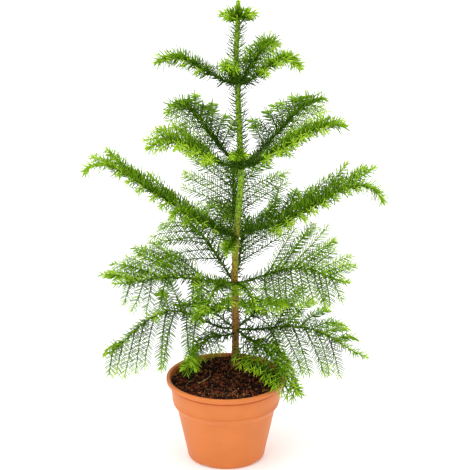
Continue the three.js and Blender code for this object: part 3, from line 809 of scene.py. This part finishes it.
class PINE_OT_pot(Operator):
    """Turns the pot with its rolled lip, step and drainage notches"""
    bl_idname = "pine.pot"
    bl_label = "Turn the pot"

    def execute(self, context):
        pot = context.scene.pine_pot
        outline = pot_outline(pot)
        places = turned(outline, pot.segments)
        # Drainage notches under the heel lift the foot's edge
        azimuth = np.degrees(np.arctan2(places[..., 1], places[..., 0]))
        half = NOTCH_SPACING / 2
        off_notch = np.abs((azimuth - NOTCH_AZIMUTH + half) % NOTCH_SPACING - half)
        low = places[..., 2] < NOTCH_HEIGHT
        at_edge = np.hypot(places[..., 0], places[..., 1]) > pot.foot_radius * 0.9
        places[..., 2] = np.where(low & at_edge & (off_notch < NOTCH_HALF), NOTCH_HEIGHT, places[..., 2])
        add_piece("pot_shell", places.reshape(-1, 3), ring_quads(len(outline), pot.segments),
                  [moulded_polypropylene(pot.colour)], "pot", ["pot"])
        return {"FINISHED"}


class PINE_OT_soil(Operator):
    """Fills the pot with damp soil and strews crumbs and fibres over it"""
    bl_idname = "pine.soil"
    bl_label = "Fill the soil"

    def execute(self, context):
        pot, soil = context.scene.pine_pot, context.scene.pine_soil
        draw = np.random.default_rng(SOIL_SEED)
        edge = pot.collar_radius - pot.wall - SOIL_GAP
        waves = [(draw.normal(0, 1 / long, 2), draw.random() * ANY_TURN, high)
                 for count, long, high in SOIL_LUMPS for _ in range(count)]

        def surface(x, y):
            """The soil's height at a place: level round the stem, sinking to the wall, lumpy all over."""
            out = np.clip((np.hypot(x, y) - soil.level_radius) / (edge - soil.level_radius), 0, 1)
            lumps = sum(high * np.sin(x * k[0] + y * k[1] + start) for k, start, high in waves)
            return soil.level - soil.edge_drop * out - 0.8 * MM + np.clip(lumps, -2.5 * MM, 2.2 * MM)

        peat = damp_earth("damp_peat", soil.peat, 2.0 * MM, 0.85)
        top = turned([(radius, 0) for radius in edge * np.linspace(0.004, 1, SOIL_RINGS)], SOIL_SECTORS)
        top[..., 2] = surface(top[..., 0], top[..., 1])
        gap = pot.wall + SOIL_GAP
        down = turned([
            *(edge_of(pot, name) - (gap, 0) for name in ("shoulder", "waist")),
            edge_of(pot, "heel") + (-gap, 1 * MM), (0.5 * MM, pot.floor + 1 * MM)], SOIL_SECTORS)
        places = np.concatenate([top, down])
        add_piece("potting_soil", places.reshape(-1, 3), ring_quads(len(places), SOIL_SECTORS)[:, ::-1],
                  [peat], "soil", ["soil"])

        # Crumbs are rough lumps, half sunk into the soil
        count = soil.crumbs
        far = edge * 0.985 * np.sqrt(draw.random(count))
        round_about = draw.random(count) * 2 * math.pi
        x, y = far * np.cos(round_about), far * np.sin(round_about)
        size = soil.crumb * draw.lognormal(-0.15, 0.45, count).clip(0.35, 2.4)
        lump = unit(np.array([corner for corner in itertools.product((-1, 0, 1), repeat=3)
                              if sum(map(abs, corner)) in (1, 3)], float))
        rough = (lump[None] * draw.uniform(0.6, 1.15, (count, len(lump), 1))
                 * draw.uniform(0.55, 1.2, (count, 1, 3)))
        spin, _ = np.linalg.qr(draw.normal(0, 1, (count, 3, 3)))
        rough = np.einsum("nvk,nkj->nvj", rough, spin) * (size / 2)[:, None, None]
        corners = rough + np.stack([x, y, surface(x, y) + size * 0.12], -1)[:, None, :]
        from_axis = np.maximum(np.hypot(corners[..., 0], corners[..., 1]), 1e-9)
        corners[..., :2] *= np.minimum(1, edge / from_axis)[..., None]
        hull = convex_faces(lump)
        faces = (np.arange(count) * len(lump))[:, None, None] + hull[None]
        looks = np.repeat(draw.choice(len(CRUMB_SHARES), count, p=CRUMB_SHARES), len(hull))
        bits = [peat, damp_earth("composted_bark", soil.bark_bit, 2.5 * MM, 0.8),
                damp_earth("dry_bark", soil.dry_bit, 2.5 * MM, 0.9)]
        add_piece("soil_crumbs", corners.reshape(-1, 3), faces.reshape(-1, 3), bits, "soil", looks=looks)

        # Fibres lie in loose curves on the crumbs
        strands = []
        for _ in range(soil.fibres):
            middle = edge * 0.9 * math.sqrt(draw.random())
            angle, heading = draw.random() * ANY_TURN, draw.random() * ANY_TURN
            long, bend = draw.uniform(5, 22) * MM, draw.normal(0, 60)
            s = np.linspace(-0.5, 0.5, FIBRE_POINTS) * long
            x = middle * math.cos(angle) + np.cumsum(np.cos(heading + bend * s)) * long / FIBRE_POINTS
            y = middle * math.sin(angle) + np.cumsum(np.sin(heading + bend * s)) * long / FIBRE_POINTS
            inside = np.minimum(1, (edge - 1 * MM) / np.hypot(x, y))
            x, y = x * inside, y * inside
            path = np.stack([x, y, surface(x, y) + draw.uniform(0.3, 1.2) * MM], -1)
            strands.append(tube(path, np.full(FIBRE_POINTS, draw.uniform(0.16, 0.38) * MM), 5))
        s = np.linspace(0, 1, 12)
        x = (FALLEN_FROM[0] + FALLEN_RUN[0] * s) * MM
        y = (FALLEN_FROM[1] + FALLEN_RUN[1] * s - FALLEN_BOW * s * (1 - s)) * MM
        path = np.stack([x, y, np.full_like(s, soil.level + 1.6 * MM)], -1)
        strands.append(tube(path, np.linspace(1.0, 0.6, len(path)) * MM, 5))
        fibre = damp_earth("coir_fibre", soil.fibre, 3.0 * MM, 0.75)
        add_piece("soil_fibres", *joined(strands), [fibre], "soil")
        return {"FINISHED"}


class PINE_OT_trunk(Operator):
    """Grows the trunk with its scaly bark and the needles on its green lengths"""
    bl_idname = "pine.trunk"
    bl_label = "Grow the trunk"

    def execute(self, context):
        stem, needles = context.scene.pine_stem, context.scene.pine_needles
        draw = np.random.default_rng(TRUNK_SEED)
        heights = np.linspace(TRUNK_HEIGHTS[0], TRUNK_HEIGHTS[-1], 520)
        radii = pointed(trunk_radius(heights, stem) - 0.3 * stem.relief)
        bark = tube(trunk_centre(heights), radii, 28, stem.relief, (5, 3), 7 * MM)
        add_piece("trunk_bark", *bark, [young_pine_bark(stem)], "bark", ["trunk"])
        add_needles("trunk_needles", [
            needles_on(trunk_centre(np.linspace(low, high, 40) * MM), spacing * MM, length * MM, TRUNK_LEAN, youth_and_shade,
                       draw, 0.8 * needles.width, tip_youth=0.05)
            for low, high, spacing, length, youth_and_shade in TRUNK_NEEDLES])
        return {"FINISHED"}


class PINE_OT_boughs(Operator):
    """Grows the boughs of every tier with their rind, and the twigs on them"""
    bl_idname = "pine.boughs"
    bl_label = "Grow the boughs and twigs"

    def execute(self, context):
        stem = context.scene.pine_stem
        rind = plant_skin("green_limb_rind", stem.limb, 0.55)
        for t, boughs in enumerate(crown(), 1):
            limbs, twigs = [], []
            for path, branchlets in boughs:
                way = np.linspace(0, 1, len(path))
                radii = stem.joint_radius + (stem.limb_radius - stem.joint_radius) * way**0.7
                limbs.append(tube(path, pointed(radii, 0.2), 10, 0.25 * stem.relief))
                for twig, _, _ in branchlets:
                    twigs.append(tube(twig, pointed(np.linspace(*TWIG_RADII, len(twig)) * MM), 5))
            add_piece(f"limbs_tier{t}", *joined(limbs), [rind], "limb", nodes_named(f"bough_tier{t}_"))
            add_piece(f"twigs_tier{t}", *joined(twigs), [rind], "limb")
        return {"FINISHED"}


class PINE_OT_needles(Operator):
    """Sets the needles along every bough and twig, in greens dealt out by spray, with painted light and shade"""
    bl_idname = "pine.needles"
    bl_label = "Set the needles"

    def execute(self, context):
        for t, boughs in enumerate(crown()):
            draw = np.random.default_rng(NEEDLE_SEED + t)
            flat = UP - COMB_TURN[t] * BACK
            groups = []
            for b, (path, branchlets) in enumerate(boughs):
                habit = habit_of(t, b)
                spray = TIER_YOUTH[t] + habit["younger"] + draw.normal(0, BOUGH_YOUTH_PLAY)
                # Boughs behind the trunk take painted shade: their needles are darker by SHADE_AGE and their tips
                # less young
                shaded = bool(unit(path[-1] - path[0])[1] > BEHIND)
                open_up = 1 / BACK_SHARE[t] if shaded else 1
                reach = TIERS[t]["boughs"][b][1]
                brush = habit["brush"] * BRUSH_LENGTH[t] * np.clip(reach / BRUSH_REACH, BRUSH_LEAST, 1)
                # The close needles of the upper tiers are darkened as painted shade inside the brush
                for spacing, length, lean, younger, width in (
                        (BRUSH_SPACING[t], brush, BRUSH_LEAN, BRUSH_YOUTH[t], BRUSH_WIDTH[t]),
                        (CLOSE_SPACING[t], CLOSE_LENGTH, CLOSE_LEAN, CLOSE_YOUTH_AND_SHADE[t], NEEDLE_WIDTH[t])):
                    youth_and_shade = spray + younger - SHADE_AGE * shaded
                    groups.append(needles_on(
                        path, spacing * open_up**2, length, lean, youth_and_shade, draw, width, first=BOUGH_FIRST,
                        tip_youth=BOUGH_TIP_YOUTH[shaded], old=BOUGH_FOOT_SHADE_AND_AGE, under=BRUSH_UNDER[t],
                        short_foot=BRUSH_FOOT[t]))
                comb = COMBS[t][shaded] and habit["comb"]
                spacing = (COMB_SPACING if comb else SPIRAL_SPACING) * open_up * habit["apart"]
                for twig, outward, facing in branchlets:
                    youth_and_shade = (spray + OUTER_YOUTH * outward + FRONT_YOUTH[t] * (facing - 0.5)
                             + draw.normal(0, TWIG_YOUTH_PLAY))
                    groups.append(needles_on(
                        twig, spacing, NEEDLE_LENGTH[t], NEEDLE_LEAN[t], youth_and_shade, draw, NEEDLE_WIDTH[t], comb,
                        old=FOOT_AGE_AND_SHADE[t], flat=flat))
            add_needles(f"needles_tier{t + 1}", groups, nodes_named(f"foliage_tier{t + 1}_"))
        return {"FINISHED"}


class PINE_OT_leader(Operator):
    """Sets the tuft of young shoots on the leader"""
    bl_idname = "pine.leader"
    bl_label = "Set the leader's tuft"

    def execute(self, context):
        needles = context.scene.pine_needles
        draw = np.random.default_rng(LEADER_SEED)
        root = trunk_centre(TRUNK_HEIGHTS[-1])
        s = np.linspace(0, 1, 10)[:, None]
        # A slim bud stands in a whorl of shoots that lean out and then level off, as (path, needle length, lean)
        shoots = [(root + UP * BUD_HEIGHT * MM * s, 0.85, (42, 20))]
        for azimuth, length in SHOOTS:
            heading = heading_at(azimuth + draw.normal(0, 6))
            start = root + UP * (1 + 3 * draw.random()) * MM
            middle = start + unit(heading + UP * 0.75) * length / 2 * MM
            end = start + unit(heading + UP * 0.26) * length * MM
            shoots.append((curve(start, middle, end, s), 1.15, (70, 44)))
        # The needles near the shoots' feet are darker by old, as painted shade in the tuft's centre
        add_needles("leader_needles", [
            needles_on(path, TUFT_SPACING, share * needles.length, lean, TUFT_YOUTH, draw, needles.width, old=0.5)
            for path, share, lean in shoots], ["tuft_leader"])
        stems = [tube(path, np.linspace(0.9, 0.35, len(path)) * MM, 6) for path, _, _ in shoots]
        add_piece("leader_shoots", *joined(stems), [needle_skins()[NEEDLE_SHADE_AND_AGES.index("grown")]], "foliage")
        return {"FINISHED"}


class PINE_OT_stage(Operator):
    """Lays the pale floor, hangs the soft lights and sets the camera"""
    bl_idname = "pine.stage"
    bl_label = "Set the stage"

    def execute(self, context):
        stage, scene = context.scene.pine_stage, context.scene
        half = stage.floor_size / 2
        mesh = bpy.data.meshes.new("stage_floor")
        corners = [(-half, -half, 0), (half, -half, 0), (half, half, 0), (-half, half, 0)]
        mesh.from_pydata(corners, [], [(0, 1, 2, 3)])
        paper, *_ = new_material("matt_paper", Roughness=0.9, **{
            "Base Color": (*stage.floor_colour, 1), "Emission Color": (1, 1, 1, 1),
            "Emission Strength": stage.table_light})
        mesh.materials.append(paper)
        floor = add_object("stage_floor", mesh)

        world = bpy.data.worlds.new("studio")
        world.use_nodes = True
        sky = world.node_tree.nodes["Background"].inputs
        sky["Color"].default_value, sky["Strength"].default_value = (1, 1, 1, 1), stage.world_light
        scene.world = world
        scene.view_settings.view_transform = "Standard"

        # Lights as (name, power, width, place, turn)
        for name, power, width, place, turn in (
                ("overhead_light", stage.overhead_light, 5.0, (0, 0.7, 3.2), (0, 0, 0)),
                ("key_light", stage.key_light, 1.6, (-1.3, -1.9, 2.0), (math.radians(50), 0, math.radians(-34)))):
            light = bpy.data.lights.new(name, "AREA")
            light.energy, light.size = power, width
            add_object(name, light, place, turn)

        lens = bpy.data.cameras.new("camera")
        lens.lens, lens.sensor_width = stage.focal_length, 36
        scene.camera = add_object("camera", lens, stage.camera, (math.pi / 2 - stage.pitch, 0, 0))
        return {"FINISHED"}


STEPS = (PINE_OT_stage, PINE_OT_pot, PINE_OT_soil, PINE_OT_trunk, PINE_OT_boughs, PINE_OT_needles, PINE_OT_leader)
GROUPS = {"pine_pot": PotSizes, "pine_soil": SoilSizes, "pine_stem": StemSizes, "pine_needles": NeedleSizes,
          "pine_stage": StageSettings}


class PINE_PT_panel(Panel):
    """Lists the steps that make the potted pine, with their sizes and colours"""
    bl_label = "Potted pine"
    bl_space_type = "VIEW_3D"
    bl_region_type = "UI"
    bl_category = "Pine"

    def draw(self, context):
        for step in STEPS:
            self.layout.operator(step.bl_idname)
        for group, kind in GROUPS.items():
            box = self.layout.box()
            for name in kind.__annotations__:
                box.prop(getattr(context.scene, group), name, text=name.replace("_", " ").capitalize())


def register():
    for kind in (*GROUPS.values(), *STEPS, PINE_PT_panel):
        bpy.utils.register_class(kind)
    for group, kind in GROUPS.items():
        setattr(bpy.types.Scene, group, PointerProperty(type=kind))


def unregister():
    for group in GROUPS:
        delattr(bpy.types.Scene, group)
    for kind in reversed((*GROUPS.values(), *STEPS, PINE_PT_panel)):
        bpy.utils.unregister_class(kind)


def main():
    register()
    for step in STEPS:
        space, name = step.bl_idname.split(".")
        getattr(getattr(bpy.ops, space), name)()


if __name__ == "__main__":
    main()
